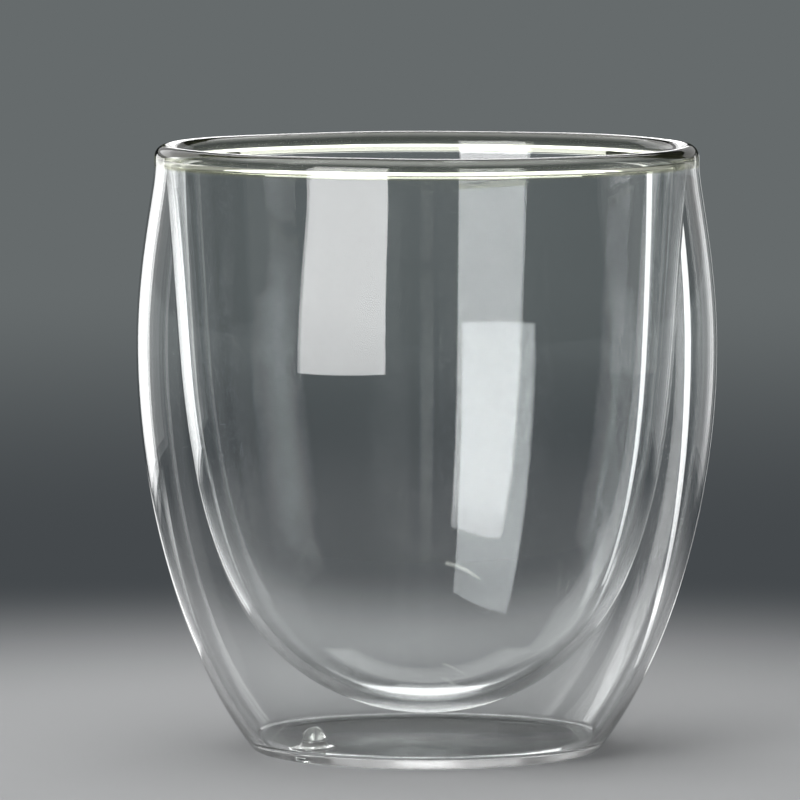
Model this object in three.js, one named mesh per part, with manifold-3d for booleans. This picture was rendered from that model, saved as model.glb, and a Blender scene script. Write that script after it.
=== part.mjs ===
// Double-walled glass tumbler: an inner cup hangs by its fused rim inside an outer jacket, air between them.
// Millimetres, +Z up. The origin is the middle of the base, on the surface that the glass stands on.
import * as THREE from 'three';
import { mergeVertices } from 'three/addons/utils/BufferGeometryUtils.js';
import Module from 'manifold-3d';

// Driving dimensions of the outer wall
const height = 90; // floor to the top of the lip
const bellyRadius = 43; // widest point of the glass
const bellyHeight = 60;
const mouthRadius = 40.3; // outside of the lip
const footRadius = 24.9; // outer edge of the flat ring that the glass stands on
const footWidth = 2.4;
const puntDepth = 0.6; // how far the underside rises inside that ring
const heelRound = 1.5; // rounding between foot and side, outside
const floorRound = 1.6; // rounding between floor and side, inside
const heelLean = THREE.MathUtils.degToRad(37.8); // the side's lean from upright where it leaves the heel
const outerThickness = 1.4;
const baseThickness = 1.8;

// Driving dimensions of the inner wall
const innerThickness = 1.6;
const airGap = 4.9; // between the walls, level with the belly
const mouthGap = 0.4; // between the walls, where they meet the lip
const bottomGap = 3.75; // between the floor of the jacket and the cup
const bowlTaper = 5; // how much narrower the cup's round end is than the cup at the belly
const bowlSweep = THREE.MathUtils.degToRad(60); // of the round end, from its lowest point

// Driving dimensions of the lip and of the drop that seals the vent
const beadHeight = 3.2; // from the tops of the walls to the top of the lip
const lipRound = 2; // height of the rounding over the lip
const crownRise = 1.2; // how far the air space reaches up into the lip
const sealHeight = 3; // of the drop above the floor
const sealSkirt = 3.2; // radius where the drop spreads on the floor
const sealTipRadius = 1.7;
const skirtThickness = 0.5;
const shankRadius = 1.1; // the part of the drop inside the vent hole
const ventClearance = 0.3;
const ventInset = 0.75; // from the inner edge of the foot ring to the vent hole
const sealBearing = THREE.MathUtils.degToRad(216); // towards the front left, from +X

// Fullness of the curves: the length of each end's handle as a share of the height that its curve climbs
const heelPull = 0.293;
const underBellyPull = 0.355;
const overBellyPull = 0.474;
const mouthPull = 0.12;
const bowlPull = 0.33;
const cupPull = 0.3;

// Smoothness of the solids
const aroundSteps = 48;
const aroundSealSteps = 20;
const lowerSteps = 9;
const upperSteps = 6;
const bowlSteps = 7;
const cupSteps = 6;
const roundSteps = 4;
const crownSteps = 8;
const lipSteps = 12;

// Heights and radii that follow from them
const weldHeight = height - beadHeight;
const cupRadius = bellyRadius - outerThickness - airGap;
const cupMouthRadius = mouthRadius - outerThickness - mouthGap;
const cupBottom = baseThickness + bottomGap;
const bowlRadius = cupRadius - bowlTaper;
const puntRadius = footRadius - footWidth;
const ventRadius = shankRadius + ventClearance;
const ventDistance = puntRadius - ventInset - ventRadius;
const ventX = ventDistance * Math.cos(sealBearing);
const ventY = ventDistance * Math.sin(sealBearing);

const wasm = await Module();
wasm.setup();

const point = (r, z) => new THREE.Vector2(r, z);
const polar = (angle, length) => point(Math.cos(angle), Math.sin(angle)).multiplyScalar(length);

// A cubic from one end to the other; each handle runs along its end's direction
function blend(start, startWay, startPull, end, endWay, endPull, steps) {
  const climb = end.y - start.y;
  const startHandle = start.clone().addScaledVector(startWay, startPull * climb);
  const endHandle = end.clone().addScaledVector(endWay, -endPull * climb);
  return new THREE.CubicBezierCurve(start, startHandle, endHandle, end).getPoints(steps);
}

function arc(centre, radiusR, radiusZ, from, to, steps) {
  return new THREE.EllipseCurve(centre.x, centre.y, radiusR, radiusZ, from, to, to < from).getPoints(steps);
}

// Joined stretches share their end points, so each point is kept once
function joined(...stretches) {
  const points = stretches.flat();
  return points.filter((p, i) => i === 0 || p.distanceTo(points[i - 1]) > 1e-6);
}

// One face of the jacket's side, from its floor round the heel and up to the lip
function jacketSide(floorHeight, round, inset) {
  const lean = Math.sin(heelLean) * (floorHeight + round - heelRound) + heelRound - inset - round;
  const heelCentre = point(footRadius + lean / Math.cos(heelLean), floorHeight + round);
  const heel = arc(heelCentre, round, round, -Math.PI / 2, -heelLean, roundSteps);
  const upright = point(0, 1);
  const leaning = polar(Math.PI / 2 - heelLean, 1);
  const belly = point(bellyRadius - inset, bellyHeight);
  const mouth = point(mouthRadius - inset, weldHeight);
  const lower = blend(heel.at(-1), leaning, heelPull, belly, upright, underBellyPull, lowerSteps);
  const upper = blend(belly, upright, overBellyPull, mouth, upright, mouthPull, upperSteps);
  return joined(heel, lower, upper);
}

// One face of the cup, from its lowest point up to the lip
function cupSide(inset) {
  const bowlCentre = point(0, cupBottom + bowlRadius);
  const bowlEdge = -Math.PI / 2 + bowlSweep;
  const bowl = arc(bowlCentre, bowlRadius - inset, bowlRadius - inset, -Math.PI / 2, bowlEdge, bowlSteps);
  bowl[0].x = 0;
  const belly = point(cupRadius - inset, bellyHeight);
  const mouth = point(cupMouthRadius - inset, weldHeight);
  const flare = mouth.clone().sub(belly).normalize();
  const side = blend(bowl.at(-1), polar(bowlSweep, 1), bowlPull, belly, flare, cupPull, cupSteps);
  return joined(bowl, side, [mouth]);
}

// A profile turned about the upright axis
function turned(profile, steps) {
  return new THREE.LatheGeometry(profile, steps).rotateX(Math.PI / 2);
}

function solid(geometry) {
  const bare = geometry.clone();
  bare.deleteAttribute('normal');
  bare.deleteAttribute('uv');
  const welded = mergeVertices(bare, 1e-4);
  const corners = Array.from(welded.index.array);
  const triangles = [];
  for (let i = 0; i < corners.length; i += 3) {
    const [a, b, c] = corners.slice(i, i + 3);
    if (a !== b && b !== c && c !== a) triangles.push(a, b, c);
  }
  const vertProperties = new Float32Array(welded.attributes.position.array);
  const triVerts = new Uint32Array(triangles);
  return new wasm.Manifold(new wasm.Mesh({ numProp: 3, vertProperties, triVerts }));
}

function surface(body) {
  const mesh = body.getMesh();
  const geometry = new THREE.BufferGeometry();
  geometry.setAttribute('position', new THREE.BufferAttribute(mesh.vertProperties, 3));
  geometry.setIndex(new THREE.BufferAttribute(mesh.triVerts, 1));
  geometry.computeVertexNormals();
  return geometry;
}

function outerWall() {
  const puntHandle = point(puntRadius / 2, puntDepth);
  const punt = new THREE.QuadraticBezierCurve(point(0, puntDepth), puntHandle, point(puntRadius, 0));
  const outside = joined(punt.getPoints(roundSteps), jacketSide(0, heelRound, 0));
  const inside = jacketSide(baseThickness, floorRound, outerThickness);
  const jacket = turned([...outside, ...inside.reverse(), point(0, baseThickness)], aroundSteps);
  const vent = new THREE.CylinderGeometry(ventRadius, ventRadius, height, aroundSealSteps);
  vent.rotateX(Math.PI / 2).translate(ventX, ventY, 0);
  return surface(solid(jacket).subtract(solid(vent)));
}

function innerWall() {
  const outside = cupSide(0);
  const inside = cupSide(innerThickness);
  return turned([...outside, ...inside.reverse()], aroundSteps);
}

// The lip: flat where it meets both wall tops, hollowed between them, and rounded over
function rimWeld() {
  const boreRadius = cupMouthRadius - innerThickness;
  const jacketBore = mouthRadius - outerThickness;
  const halfWidth = (mouthRadius - boreRadius) / 2;
  const lipCentre = point(boreRadius + halfWidth, height - lipRound);
  const lip = arc(lipCentre, halfWidth, lipRound, 0, Math.PI, lipSteps);
  const crownCentre = point(cupMouthRadius + mouthGap / 2, weldHeight);
  const crown = arc(crownCentre, mouthGap / 2, crownRise, Math.PI, 0, crownSteps);
  const start = point(boreRadius, weldHeight);
  crown[0] = point(cupMouthRadius, weldHeight);
  crown[crown.length - 1] = point(jacketBore, weldHeight);
  return turned([start, ...crown, point(mouthRadius, weldHeight), ...lip, start.clone()], aroundSteps);
}

// The drop: a shank in the vent hole, a skirt spread on the floor and a tip drawn up from it
function sealTip() {
  const tipCentre = point(0, baseThickness + sealHeight - sealTipRadius);
  const tip = arc(tipCentre, sealTipRadius, sealTipRadius, 0, Math.PI / 2, roundSteps);
  tip[tip.length - 1].x = 0;
  const skirtEdge = point(sealSkirt, baseThickness + skirtThickness);
  const neck = new THREE.QuadraticBezierCurve(skirtEdge, point(sealTipRadius, skirtEdge.y), tip[0]);
  const profile = joined(
    [point(0, puntDepth), point(shankRadius, puntDepth), point(shankRadius, baseThickness)],
    [point(sealSkirt, baseThickness)],
    neck.getPoints(roundSteps),
    tip,
  );
  return turned(profile, aroundSealSteps);
}

function glass(colour, roughness) {
  const clear = { transparent: true, opacity: 0.35 };
  return new THREE.MeshStandardMaterial({ color: colour, roughness, metalness: 0, ...clear });
}

const tumbler = new THREE.Group();

function addPiece(name, geometry, material, x = 0, y = 0) {
  const piece = new THREE.Mesh(geometry, material);
  piece.name = name;
  piece.position.set(x, y, 0);
  tumbler.add(piece);
}

addPiece('outer_wall', outerWall(), glass(0xdfe3e2, 0.04));
addPiece('inner_wall', innerWall(), glass(0xe2e5e4, 0.04));
addPiece('rim_weld', rimWeld(), glass(0xc9cdb8, 0.06));
addPiece('seal_tip', sealTip(), glass(0xd6dad8, 0.08), ventX, ventY);

export default tumbler;
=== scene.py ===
import math

import bmesh
import bpy
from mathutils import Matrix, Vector


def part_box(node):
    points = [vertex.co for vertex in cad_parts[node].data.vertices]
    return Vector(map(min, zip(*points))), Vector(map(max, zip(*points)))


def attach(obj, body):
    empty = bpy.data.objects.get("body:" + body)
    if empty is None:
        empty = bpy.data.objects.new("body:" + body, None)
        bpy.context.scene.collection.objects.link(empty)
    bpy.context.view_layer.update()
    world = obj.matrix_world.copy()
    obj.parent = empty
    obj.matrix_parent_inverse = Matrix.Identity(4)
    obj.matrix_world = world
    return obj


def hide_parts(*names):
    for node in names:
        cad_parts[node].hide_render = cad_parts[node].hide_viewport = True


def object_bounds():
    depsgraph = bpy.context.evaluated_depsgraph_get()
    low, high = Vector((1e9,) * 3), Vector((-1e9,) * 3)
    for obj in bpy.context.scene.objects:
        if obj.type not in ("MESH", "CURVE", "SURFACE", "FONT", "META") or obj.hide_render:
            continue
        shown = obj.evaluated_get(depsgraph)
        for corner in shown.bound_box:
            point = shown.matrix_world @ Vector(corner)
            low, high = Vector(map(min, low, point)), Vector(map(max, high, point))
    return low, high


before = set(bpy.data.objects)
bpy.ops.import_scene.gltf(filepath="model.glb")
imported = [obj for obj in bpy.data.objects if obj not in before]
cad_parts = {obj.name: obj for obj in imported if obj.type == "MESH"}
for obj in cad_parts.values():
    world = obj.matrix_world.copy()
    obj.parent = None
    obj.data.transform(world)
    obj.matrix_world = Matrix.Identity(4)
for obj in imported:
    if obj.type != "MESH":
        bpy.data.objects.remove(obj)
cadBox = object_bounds()

mm = 0.001  # sizes of the pieces and of the patterns in the glass are written in millimetres
glassHeight = cadBox[1].z
bellyRadius = cadBox[1].x
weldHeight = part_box("outer_wall")[1].z  # the plane where both walls meet the lip
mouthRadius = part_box("rim_weld")[1].x
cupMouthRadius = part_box("inner_wall")[1].x
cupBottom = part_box("inner_wall")[0].z
sealLow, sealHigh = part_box("seal_tip")
sealMiddle = (sealLow + sealHigh) / 2
sealSkirt = (sealHigh.x - sealLow.x) / 2  # radius where the drop spreads on the floor
aroundSteps = 256  # facets round the glass, fine enough that no straight edge shows
print("frame loaded, glass", round(glassHeight / mm, 2), "mm high")


# An sRGB hex value as linear red, green, blue and alpha
def linear(hexColour):
    channels = [int(hexColour[i:i + 2], 16) / 255 for i in (1, 3, 5)]
    return tuple(c / 12.92 if c <= 0.04045 else ((c + 0.055) / 1.055) ** 2.4 for c in channels) + (1.0,)


# One node with its settings; an input is a value or another node's output
def addNode(tree, kind, inputs=None, **settings):
    node = tree.nodes.new(kind)
    for key, value in settings.items():
        setattr(node, key, value)
    for key, value in (inputs or {}).items():
        if isinstance(value, bpy.types.NodeSocket):
            tree.links.new(value, node.inputs[key])
        else:
            node.inputs[key].default_value = value
    return node


def newMaterial(name):
    material = bpy.data.materials.new(name)
    material.use_nodes = True
    material.node_tree.nodes.clear()
    return material, material.node_tree


# Glass

# Borosilicate tube, blown in a mould and flame polished: clear, almost colourless, with slow waves left by
# the blowing and a faint unevenness of polish that breaks up the edges of reflections
def blownGlass(name, look):
    material, tree = newMaterial(name)
    place = addNode(tree, "ShaderNodeTexCoord").outputs["Object"]
    waves = addNode(tree, "ShaderNodeTexNoise", {
        "Vector": place, "Scale": 1 / (look["waveLength"] * mm),
        "Detail": look["waveDetail"], "Roughness": look["waveGrain"]})
    bump = addNode(tree, "ShaderNodeBump", {
        "Height": waves.outputs["Fac"], "Strength": 1.0, "Distance": look["waveDepth"] * mm})
    haze = addNode(tree, "ShaderNodeTexNoise", {
        "Vector": place, "Scale": 1 / (look["hazeSize"] * mm),
        "Detail": look["hazeDetail"], "Roughness": look["hazeGrain"]})
    polish = addNode(tree, "ShaderNodeMapRange", {
        "Value": haze.outputs["Fac"], "From Min": look["hazeRange"][0], "From Max": look["hazeRange"][1],
        "To Min": look["roughness"][0], "To Max": look["roughness"][1]})
    # edge on, the way through the glass is long and it takes on its own faint colour; the darkening edge on
    # is painted shade, which outlines the walls
    edge = addNode(tree, "ShaderNodeLayerWeight", {"Blend": look["edgeBlend"]})
    edgeShadeShare = addNode(tree, "ShaderNodeMapRange", {
        "Value": edge.outputs["Facing"], "From Min": look["edgeOn"][0], "From Max": look["edgeOn"][1]},
        interpolation_type="SMOOTHSTEP")
    colour = addNode(tree, "ShaderNodeMix", {
        "Factor": edgeShadeShare.outputs["Result"], "A": linear(look["tint"]), "B": linear(look["edgeTintAndShade"])},
        data_type="RGBA")
    glass = addNode(tree, "ShaderNodeBsdfPrincipled", {
        "Base Color": colour.outputs["Result"], "IOR": look["ior"], "Transmission Weight": 1.0,
        "Roughness": polish.outputs["Result"], "Normal": bump.outputs["Normal"]})
    # a trace of scatter in fused glass: next to nothing straight through, a glow along a long way inside
    seeds = addNode(tree, "ShaderNodeBsdfTranslucent", {"Color": linear(look["seedColour"])})
    seeded = addNode(tree, "ShaderNodeMixShader", {
        0: look["seedShare"], 1: glass.outputs["BSDF"], 2: seeds.outputs["BSDF"]})
    # lamps shine through, less so where the wall is met edge on
    shade = addNode(tree, "ShaderNodeMapRange", {
        "Value": edge.outputs["Facing"], "To Min": look["shadeFace"], "To Max": look["shadeEdge"]})
    clear = addNode(tree, "ShaderNodeBsdfTransparent", {"Color": shade.outputs["Result"]})
    path = addNode(tree, "ShaderNodeLightPath")
    mixed = addNode(tree, "ShaderNodeMixShader", {
        0: path.outputs["Is Shadow Ray"], 1: seeded.outputs["Shader"], 2: clear.outputs["BSDF"]})
    addNode(tree, "ShaderNodeOutputMaterial", {"Surface": mixed.outputs["Shader"]})
    return material


# Where two pieces are melted into one there is no surface left to see
def fusedSeam():
    material, tree = newMaterial("fused seam in borosilicate")
    clear = addNode(tree, "ShaderNodeBsdfTransparent", {"Color": linear("#ffffff")})
    addNode(tree, "ShaderNodeOutputMaterial", {"Surface": clear.outputs["BSDF"]})
    return material


# The walls: bright and clear face on; grey green and darker edge on, where the darkness is painted shade
# that outlines them
wallLook = dict(
    tint="#fcfdfd", edgeTintAndShade="#4a5350", edgeOn=(0.55, 0.88), edgeBlend=0.35, ior=1.473,
    waveLength=26, waveDepth=0.018, waveDetail=1, waveGrain=0.4,
    roughness=(0.0, 0.008), hazeSize=9, hazeDetail=4, hazeGrain=0.6, hazeRange=(0.35, 0.75),
    seedShare=0.0, seedColour="#ffffff", shadeFace=0.93, shadeEdge=0.3)
# The underside, scuffed on tables: what shows through it is blurred, and the floor under it is in shade
underLook = dict(wallLook, roughness=(0.1, 0.28), hazeSize=6, shadeFace=0.38, shadeEdge=0.15)
# The lip, fused in the flame: thick glass with short waves, olive along its edges
rimLook = dict(wallLook, tint="#f9faf3", edgeTintAndShade="#a8ad84", waveLength=9, waveDepth=0.02, hazeSize=4,
               seedShare=0.04, seedColour="#c1c596")
# The drop, drawn off in the flame: small ripples that break up its glints
sealLook = dict(wallLook, tint="#f6f8f3", waveLength=3, waveDepth=0.02, hazeSize=2, roughness=(0.0, 0.03))

wallGlass = blownGlass("blown borosilicate glass", wallLook)
underGlass = blownGlass("scuffed borosilicate underside", underLook)
rimGlass = blownGlass("flame fused borosilicate lip", rimLook)
sealGlass = blownGlass("flame drawn borosilicate drop", sealLook)
seam = fusedSeam()
print("glass materials made")


# Curves and turning

# A cubic from one end to the other; each handle runs along its end's way, a pull times the climb long
def cubic(start, startWay, startPull, end, endWay, endPull, steps):
    climb = end.y - start.y
    near = start + startWay * (startPull * climb)
    far = end - endWay * (endPull * climb)
    points = []
    for i in range(steps + 1):
        t = i / steps
        u = 1 - t
        points.append(start * u ** 3 + near * (3 * u * u * t) + far * (3 * u * t * t) + end * t ** 3)
    return points


def arc(centre, radiusR, radiusZ, fromAngle, toAngle, steps):
    angles = [fromAngle + (toAngle - fromAngle) * i / steps for i in range(steps + 1)]
    return [centre + Vector((radiusR * math.cos(a), radiusZ * math.sin(a))) for a in angles]


# A hand-finished glass is never quite round: slow waves round the wall, and a lip that rises and falls.
# A wave is its crests round the glass, its twist over the height, where it starts and its share
unevenness = dict(wall=0.035, wallWaves=[(3, 5, 0.7, 1.0), (5, -7, -1.1, 0.6)],
                  lip=0.07, lipWaves=[(2, 0, 0.4, 1.0), (7, 0, 2.0, 0.5)])


def waveSum(waves, angle, level):
    total = 0
    for crests, twist, start, share in waves:
        total += share * math.sin(crests * angle + twist * level + start)
    return total


def uneven(point):
    radius = math.hypot(point.x, point.y)
    angle = math.atan2(point.y, point.x)
    level = point.z / glassHeight
    swell = unevenness["wall"] * mm * waveSum(unevenness["wallWaves"], angle, level)
    grown = radius + swell * min(1, radius / bellyRadius) * math.sin(math.pi * level)
    scale = grown / radius if radius > 0 else 1
    lift = max(0, (point.z - weldHeight) / (glassHeight - weldHeight))
    crest = sum(wave[-1] for wave in unevenness["lipWaves"])  # taken off, so that no crest is too high
    rise = unevenness["lip"] * mm * lift * (waveSum(unevenness["lipWaves"], angle, level) - crest)
    return Vector((point.x * scale, point.y * scale, point.z + rise))


axisReach = 1e-6 * mm  # a point nearer than this to the axis lies on it


# Stretches are (points, material number) in order round the section; each starts where the last one ended
def turnedPiece(name, stretches, materials, steps, middle=(0, 0)):
    outline = []
    for points, slotNumber in stretches:
        for point in points[1:] if outline else points:
            outline.append((point, slotNumber))
    onAxis = outline[0][0].x < axisReach
    if not onAxis:
        outline.pop(0)  # the last point of a closed section is its first one again
    shell = bmesh.new()
    rings = []
    for point, _ in outline:
        count = 1 if point.x < axisReach else steps
        ring = []
        for i in range(count):
            turn = 2 * math.pi * i / steps
            x = middle[0] + point.x * math.cos(turn)
            y = middle[1] + point.x * math.sin(turn)
            ring.append(shell.verts.new((x, y, point.y)))
        rings.append(ring)
    for k in range(len(rings) - 1 if onAxis else len(rings)):
        after = (k + 1) % len(rings)
        low, high = rings[k], rings[after]
        for i in range(steps):
            j = i + 1
            corners = [low[i % len(low)], low[j % len(low)], high[j % len(high)], high[i % len(high)]]
            face = shell.faces.new(dict.fromkeys(corners))  # a triangle, where a ring is one point
            face.material_index = outline[after][1]
            face.smooth = True
    bmesh.ops.recalc_face_normals(shell, faces=shell.faces)
    mesh = bpy.data.meshes.new(name)
    shell.to_mesh(mesh)
    shell.free()
    for material in materials:
        mesh.materials.append(material)
    piece = bpy.data.objects.new(name, mesh)
    bpy.context.scene.collection.objects.link(piece)
    return piece


sharpAngle = 40  # degrees between two faces, from which their edge shows as an edge


def finished(piece, node):
    for vertex in piece.data.vertices:
        vertex.co = uneven(vertex.co)
    piece.data.set_sharp_from_angle(angle=math.radians(sharpAngle))
    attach(piece, "root")
    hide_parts(node)
    print(piece.name, "made with", len(piece.data.polygons), "faces")


upright = Vector((0, 1))
glassSide, seamSide, underSide = 0, 1, 2  # material numbers

# Outer wall: the blown jacket with its base
jacket = dict(
    thickness=1.4, base=1.8, foot=24.9, footWidth=2.4, footHem=0.1, punt=0.6,
    heelRound=1.5, floorRound=1.6, heelLean=37.8, bellyHeight=60,
    heelPull=0.293, underBellyPull=0.355, overBellyPull=0.474, mouthPull=0.12,
    heelSteps=24, lowerSteps=64, upperSteps=36, puntSteps=48, floorRings=12, floorCrowding=3)
floorHeight = jacket["base"] * mm
bellyHeight = jacket["bellyHeight"] * mm
puntRadius = (jacket["foot"] - jacket["footWidth"]) * mm


# One face of the jacket's side, from its floor round the heel and up to the lip
def jacketSide(floor, rounding, inset):
    lean = math.radians(jacket["heelLean"])
    heelRound = jacket["heelRound"] * mm
    shift = math.sin(lean) * (floor + rounding - heelRound) + heelRound - inset - rounding
    centre = Vector((jacket["foot"] * mm + shift / math.cos(lean), floor + rounding))
    heel = arc(centre, rounding, rounding, -math.pi / 2, -lean, jacket["heelSteps"])
    leaning = Vector((math.sin(lean), math.cos(lean)))
    belly = Vector((bellyRadius - inset, bellyHeight))
    mouth = Vector((mouthRadius - inset, weldHeight))
    lower = cubic(heel[-1], leaning, jacket["heelPull"],
                  belly, upright, jacket["underBellyPull"], jacket["lowerSteps"])
    upper = cubic(belly, upright, jacket["overBellyPull"],
                  mouth, upright, jacket["mouthPull"], jacket["upperSteps"])
    return heel + lower[1:] + upper[1:]


# The hollow of the underside
def puntHeight(radius):
    return jacket["punt"] * mm * (1 - (radius / puntRadius) ** 2)


# Seal tip: the drop that seals the vent, with a plug that fills a stepped hole in the floor
drop = dict(plug=1.4, skirtDepth=0.15, skirt=0.22, skirtRound=0.3, tip=1.7, cutOver=2,
            aroundSteps=64, edgeSteps=12, neckSteps=20, tipSteps=16)


def plugOutline(low, high):
    plug = drop["plug"] * mm
    step = floorHeight - drop["skirtDepth"] * mm
    corners = [(0, low), (plug, low), (plug, step), (sealSkirt, step), (sealSkirt, high)]
    return [Vector(corner) for corner in corners]


def cutVent(wall):
    over = drop["cutOver"] * mm
    top = floorHeight + over
    hole = plugOutline(-over, top) + [Vector((0, top))]
    stretches = [(hole, seamSide)]
    cutter = turnedPiece("ventCutter", stretches, [wallGlass, seam], drop["aroundSteps"], sealMiddle)
    cut = wall.modifiers.new("vent", "BOOLEAN")
    cut.operation = "DIFFERENCE"
    cut.solver = "EXACT"
    cut.object = cutter
    solid = bpy.data.meshes.new_from_object(wall.evaluated_get(bpy.context.evaluated_depsgraph_get()))
    wall.modifiers.clear()
    wall.data = solid
    bpy.data.objects.remove(cutter)


def buildOuterWall():
    puntRadii = [puntRadius * i / jacket["puntSteps"] for i in range(jacket["puntSteps"] + 1)]
    punt = [Vector((radius, puntHeight(radius))) for radius in puntRadii]
    outside = jacketSide(0, jacket["heelRound"] * mm, 0)
    hem = jacket["footHem"] * mm  # rings close to both edges of the foot, so that its shading stays flat
    foot = [Vector((puntRadius + hem, 0)), Vector((outside[0].x - hem, 0))]
    inside = jacketSide(floorHeight, jacket["floorRound"] * mm, jacket["thickness"] * mm)[::-1]
    shares = [i / jacket["floorRings"] for i in range(jacket["floorRings"] + 1)]
    # the rings of the floor crowd together near the side, for the same reason
    floorRadii = [inside[-1].x * (1 - share ** jacket["floorCrowding"]) for share in shares]
    floor = [Vector((radius, floorHeight)) for radius in floorRadii]
    stretches = [
        (punt + foot + outside[:1], underSide),
        (outside, glassSide),
        ([outside[-1], inside[0]], seamSide),
        (inside + floor[1:], glassSide),
    ]
    wall = turnedPiece("OuterWall", stretches, [wallGlass, seam, underGlass], aroundSteps)
    cutVent(wall)
    return wall


# Inner wall: the blown cup
cup = dict(thickness=1.6, airGap=4.9, bowlTaper=5, bowlSweep=60, bowlPull=0.33, cupPull=0.3,
           bowlSteps=48, sideSteps=44, upperSteps=16)


# One face of the cup, from its lowest point up to the lip
def cupSide(inset):
    cupRadius = bellyRadius - (jacket["thickness"] + cup["airGap"]) * mm
    bowlRadius = cupRadius - cup["bowlTaper"] * mm
    faceRadius = bowlRadius - inset
    sweep = math.radians(cup["bowlSweep"])
    centre = Vector((0, cupBottom + bowlRadius))
    bowl = arc(centre, faceRadius, faceRadius, -math.pi / 2, sweep - math.pi / 2, cup["bowlSteps"])
    bowl[0].x = 0
    belly = Vector((cupRadius - inset, bellyHeight))
    mouth = Vector((cupMouthRadius - inset, weldHeight))
    flare = (mouth - belly).normalized()
    bowlWay = Vector((math.cos(sweep), math.sin(sweep)))
    side = cubic(bowl[-1], bowlWay, cup["bowlPull"], belly, flare, cup["cupPull"], cup["sideSteps"])
    cone = [belly.lerp(mouth, (i + 1) / cup["upperSteps"]) for i in range(cup["upperSteps"])]
    return bowl + side[1:] + cone


def buildInnerWall():
    outside = cupSide(0)
    inside = cupSide(cup["thickness"] * mm)[::-1]
    stretches = [
        (outside, glassSide),
        ([outside[-1], inside[0]], seamSide),
        (inside, glassSide),
    ]
    return turnedPiece("InnerWall", stretches, [wallGlass, seam], aroundSteps)


# Rim weld: both wall tops melted into one rounded lip, with the air space ending in a narrow crown under it
lip = dict(rounding=2, crownRise=1.2, lipSteps=48, crownSteps=24)


def buildRimWeld():
    bore = cupMouthRadius - cup["thickness"] * mm
    jacketBore = mouthRadius - jacket["thickness"] * mm
    halfWidth = (mouthRadius - bore) / 2
    rounding = lip["rounding"] * mm
    lipCentre = Vector((bore + halfWidth, glassHeight - rounding))
    over = arc(lipCentre, halfWidth, rounding, 0, math.pi, lip["lipSteps"])
    halfGap = (jacketBore - cupMouthRadius) / 2
    crownCentre = Vector((cupMouthRadius + halfGap, weldHeight))
    crown = arc(crownCentre, halfGap, lip["crownRise"] * mm, math.pi, 0, lip["crownSteps"])
    start = Vector((bore, weldHeight))
    cupTop = Vector((cupMouthRadius, weldHeight))
    jacketTop = Vector((jacketBore, weldHeight))
    outer = Vector((mouthRadius, weldHeight))
    crown[0], crown[-1] = cupTop, jacketTop
    stretches = [
        ([start, cupTop], seamSide),
        (crown, glassSide),
        ([jacketTop, outer], seamSide),
        ([outer] + over + [start.copy()], glassSide),
    ]
    return turnedPiece("RimWeld", stretches, [rimGlass, seam], aroundSteps)


def buildSealTip():
    tipRadius = drop["tip"] * mm
    tipCentre = Vector((0, sealHigh.z - tipRadius))
    tip = arc(tipCentre, tipRadius, tipRadius, 0, math.pi / 2, drop["tipSteps"])
    tip[-1].x = 0
    thick = drop["skirt"] * mm
    roll = drop["skirtRound"] * mm
    edge = arc(Vector((sealSkirt - roll, floorHeight)), roll, thick, 0, math.pi / 2, drop["edgeSteps"])
    corner = Vector((tipRadius, floorHeight + thick))
    neck = []
    for i in range(drop["neckSteps"] + 1):
        t = i / drop["neckSteps"]
        neck.append(edge[-1] * (1 - t) ** 2 + corner * (2 * t * (1 - t)) + tip[0] * t * t)
    sealDistance = math.hypot(sealMiddle.x, sealMiddle.y)
    plug = plugOutline(puntHeight(sealDistance - drop["plug"] * mm), floorHeight)
    stretches = [
        (plug[:2], glassSide),
        (plug[1:], seamSide),
        (edge + neck[1:] + tip[1:], glassSide),
    ]
    return turnedPiece("SealTip", stretches, [sealGlass, seam], drop["aroundSteps"], sealMiddle)


finished(buildOuterWall(), "outer_wall")
finished(buildInnerWall(), "inner_wall")
finished(buildRimWeld(), "rim_weld")
finished(buildSealTip(), "seal_tip")


# Stage: a pale floor that fades into a plain grey backdrop all round, dark just behind the floor and lighter
# further away. Metres, apart from the drop in mm that keeps the floor clear of the foot
stage = dict(
    radius=6.0, sides=128, drop=0.02, floor="#b6b7b8", roughness=0.9, fadeFrom=0.05, fadeTo=0.26,
    backdropLow="#45494c", backdrop="#666b6c", riseFrom=0.3, riseTo=1.0, room="#1f2224")


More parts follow.
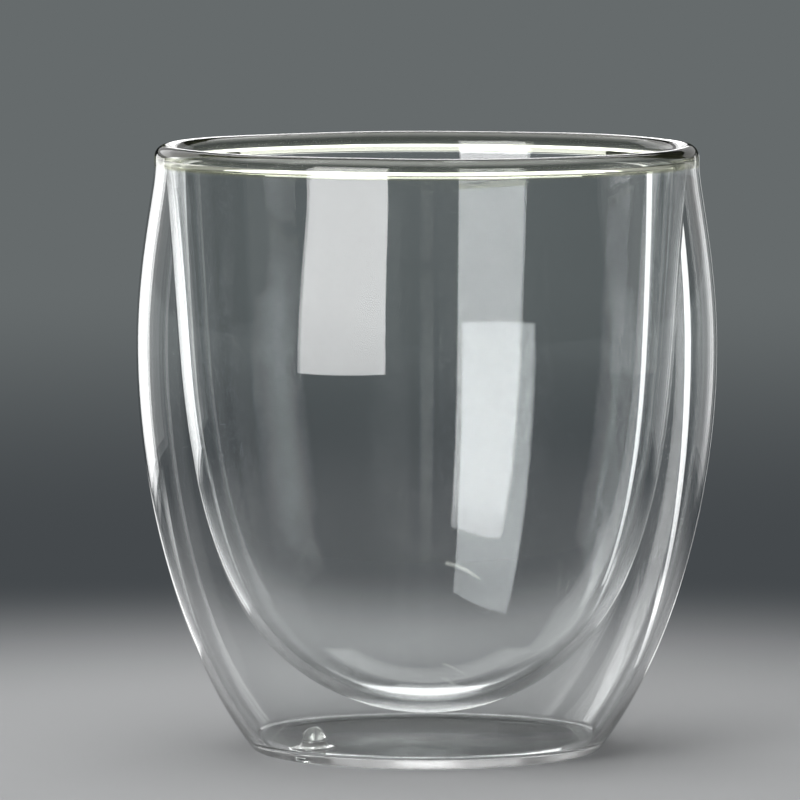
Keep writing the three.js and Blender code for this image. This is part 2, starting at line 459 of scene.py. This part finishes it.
# Uncoated studio paper: matt, with no gloss to mirror the glass
def studioPaper():
    material, tree = newMaterial("matt studio paper")
    paper = addNode(tree, "ShaderNodeBsdfPrincipled", {
        "Base Color": linear(stage["floor"]), "Roughness": stage["roughness"], "Specular IOR Level": 0.0})
    place = addNode(tree, "ShaderNodeNewGeometry").outputs["Position"]
    away = addNode(tree, "ShaderNodeVectorMath", {0: place}, operation="LENGTH").outputs["Value"]
    rise = addNode(tree, "ShaderNodeMapRange", {
        "Value": away, "From Min": stage["riseFrom"], "From Max": stage["riseTo"]},
        interpolation_type="SMOOTHSTEP")
    backdrop = addNode(tree, "ShaderNodeMix", {
        "Factor": rise.outputs["Result"], "A": linear(stage["backdropLow"]), "B": linear(stage["backdrop"])},
        data_type="RGBA")
    glow = addNode(tree, "ShaderNodeEmission", {"Color": backdrop.outputs["Result"], "Strength": 1.0})
    # the backdrop is there for the camera, for reflections and for what shows through glass
    path = addNode(tree, "ShaderNodeLightPath").outputs
    seenOrMirrored = addNode(tree, "ShaderNodeMath", {
        0: path["Is Camera Ray"], 1: path["Is Glossy Ray"]}, operation="ADD")
    seen = addNode(tree, "ShaderNodeMath", {
        0: seenOrMirrored.outputs[0], 1: path["Is Transmission Ray"]}, operation="ADD", use_clamp=True)
    share = addNode(tree, "ShaderNodeMapRange", {
        "Value": away, "From Min": stage["fadeFrom"], "From Max": stage["fadeTo"]},
        interpolation_type="SMOOTHERSTEP")
    fade = addNode(tree, "ShaderNodeMath", {
        0: seen.outputs[0], 1: share.outputs["Result"]}, operation="MULTIPLY")
    mixed = addNode(tree, "ShaderNodeMixShader", {
        0: fade.outputs[0], 1: paper.outputs["BSDF"], 2: glow.outputs["Emission"]})
    addNode(tree, "ShaderNodeOutputMaterial", {"Surface": mixed.outputs["Shader"]})
    return material


def buildStage():
    place = (0, 0, -stage["drop"] * mm)
    bpy.ops.mesh.primitive_circle_add(
        vertices=stage["sides"], radius=stage["radius"], fill_type="NGON", location=place)
    floor = bpy.context.object
    floor.name = "floor"
    floor.data.materials.append(studioPaper())
    world = bpy.data.worlds.new("plain dark room")
    world.use_nodes = True
    world.node_tree.nodes["Background"].inputs["Color"].default_value = linear(stage["room"])
    bpy.context.scene.world = world
    print("stage built")


buildStage()

# Lamps: soft boxes, cards and strips, in metres and degrees. Around is the angle round the glass (0 is the
# camera's side, + is to its right), away the distance from the middle, aside a shift to the right, low and
# high the heights of the edges of an upright lamp, and lean how far it then tips down. Brightness 1 is
# white, ends are the shares of it that are left at the low and high edge, and grid is the angle that a grid
# in front lets through. One that shows in glass sheds no light on the floor, and one that shows on the
# floor isn't seen in the glass
lampList = [
    dict(name="front left soft box", around=-33, away=0.62, low=0.0, high=0.46, width=0.38, brightness=7.4,
         ends=(0.85, 0.6)),
    dict(name="back left card", around=-147, away=0.28, low=0.0, high=0.105, width=0.084, brightness=1.8,
         ends=(0.7, 1)),
    dict(name="far left card", around=-133, away=0.3, low=0.0, high=0.11, width=0.085, brightness=0.28,
         shows="glass"),
    dict(name="back right strip", around=170, away=0.122, aside=0.034, low=0.0, high=0.085, width=0.0035,
         brightness=2.0, shows="glass", grid=50),
    dict(name="second back right strip", around=150, away=0.28, low=0.0, high=0.105, width=0.016,
         brightness=1.1, shows="glass", ends=(0.2, 1)),
    dict(name="far right card", around=146, away=0.3, low=0.0, high=0.11, width=0.13, brightness=0.18,
         shows="glass"),
    dict(name="low left strip", around=-163, away=0.06, aside=-0.035, low=0.0, high=0.036, width=0.006,
         lean=-14, brightness=1.8, shows="glass", grid=60, ends=(1, 0.05)),
    dict(name="low right strip", around=171, away=0.056, aside=0.0352, low=0.0, high=0.02, width=0.003,
         lean=-10, brightness=1.7, shows="glass", grid=60, ends=(1, 0.05)),
    dict(name="right card", around=88, away=0.6, low=0.0, high=0.45, width=0.26, brightness=0.35,
         shows="glass"),
    dict(name="rim card", around=180, away=0.4, low=0.074, high=0.2, width=0.1, brightness=1.25,
         shows="glass"),
    dict(name="back card", around=180, away=1.2, low=0.2, high=0.8, width=0.24, brightness=3.2,
         shows="glass"),
    dict(name="left rim end card", around=-145, away=1.2, low=0.26, high=0.85, width=0.8, brightness=1.2,
         shows="glass"),
    dict(name="wide back card", around=180, away=1.25, low=0.2, high=0.5, width=1.9, brightness=0.45,
         shows="glass"),
    dict(name="back overhead soft box", around=180, away=0.57, low=0.48, high=0.76, width=0.75, lean=45,
         brightness=1.8),
    dict(name="overhead fill", around=180, away=0.0, low=0.6, high=1.6, width=1.0, lean=90, brightness=2.4,
         shows="floor"),
]
fadeShare = 0.3  # of a lamp's height, over which each end fades


def fadeEnds(light, lowEnd, highEnd):
    light.use_nodes = True
    tree = light.node_tree
    place = addNode(tree, "ShaderNodeNewGeometry").outputs["Parametric"]
    level = addNode(tree, "ShaderNodeSeparateXYZ", {"Vector": place}).outputs["Y"]
    below = addNode(tree, "ShaderNodeMapRange", {
        "Value": level, "From Min": 0.0, "From Max": fadeShare, "To Min": lowEnd, "To Max": 1.0},
        interpolation_type="SMOOTHSTEP")
    above = addNode(tree, "ShaderNodeMapRange", {
        "Value": level, "From Min": 1.0 - fadeShare, "From Max": 1.0, "To Min": 1.0, "To Max": highEnd},
        interpolation_type="SMOOTHSTEP")
    both = addNode(tree, "ShaderNodeMath", {
        0: below.outputs["Result"], 1: above.outputs["Result"]}, operation="MULTIPLY")
    tree.links.new(both.outputs[0], tree.nodes["Emission"].inputs["Strength"])


def buildLamps():
    for lamp in lampList:
        light = bpy.data.lights.new(lamp["name"], "AREA")
        light.shape = "RECTANGLE"
        light.size = lamp["width"]
        light.size_y = lamp["high"] - lamp["low"]
        light.energy = lamp["brightness"] * math.pi * light.size * light.size_y
        if "ends" in lamp:
            fadeEnds(light, *lamp["ends"])
        if "grid" in lamp:
            light.spread = math.radians(lamp["grid"])
            half = light.spread / 2
            light.energy *= 1 - half / math.tan(half)  # straight ahead, as bright as without the grid
        holder = bpy.data.objects.new(lamp["name"], light)
        turn = math.radians(lamp["around"])
        lean = math.radians(lamp.get("lean", 0))
        towards = Vector((math.sin(turn), -math.cos(turn), 0))
        middle = Vector((lamp.get("aside", 0), 0, (lamp["low"] + lamp["high"]) / 2))
        holder.location = towards * lamp["away"] + middle
        facing = -towards * math.cos(lean) - Vector((0, 0, math.sin(lean)))
        holder.rotation_euler = facing.to_track_quat("-Z", "Y").to_euler()
        showsInGlass = lamp.get("shows") != "floor"
        holder.visible_camera = False
        holder.visible_diffuse = lamp.get("shows") != "glass"
        holder.visible_glossy = showsInGlass
        holder.visible_transmission = showsInGlass
        bpy.context.scene.collection.objects.link(holder)
    print(len(lampList), "lamps set")


buildLamps()

# Camera: a long lens a little above the lip, as in the photograph. Distance and clip in metres, elevation in
# degrees, sensor and aim height in mm; the focal length and the glass's axis in pixels of the square image
view = dict(distance=1.25, elevation=4.785, focalPixels=8436, imageSide=800, sensor=36,
            axisPixel=426.5, aimHeight=51.99, clipEnd=50)


def buildCamera():
    data = bpy.data.cameras.new("camera")
    data.sensor_width = view["sensor"]
    data.lens = view["focalPixels"] * view["sensor"] / view["imageSide"]
    data.clip_end = view["clipEnd"]
    camera = bpy.data.objects.new("camera", data)
    bpy.context.scene.collection.objects.link(camera)
    rise = math.radians(view["elevation"])
    back = Vector((0, -math.cos(rise), math.sin(rise)))
    aside = (view["imageSide"] / 2 - view["axisPixel"]) / view["focalPixels"] * view["distance"]
    camera.location = Vector((aside, 0, view["aimHeight"] * mm)) + back * view["distance"]
    camera.rotation_euler = (-back).to_track_quat("-Z", "Y").to_euler()
    bpy.context.scene.camera = camera
    print("camera set")


buildCamera()

# Light crosses eight faces of glass straight through, and more near the edges
bounces = dict(total=48, glass=32)
scene = bpy.context.scene
scene.view_settings.view_transform = "Standard"
scene.cycles.max_bounces = bounces["total"]
scene.cycles.transmission_bounces = bounces["glass"]
scene.cycles.glossy_bounces = bounces["glass"]
scene.cycles.transparent_max_bounces = bounces["glass"]
print("light paths set")
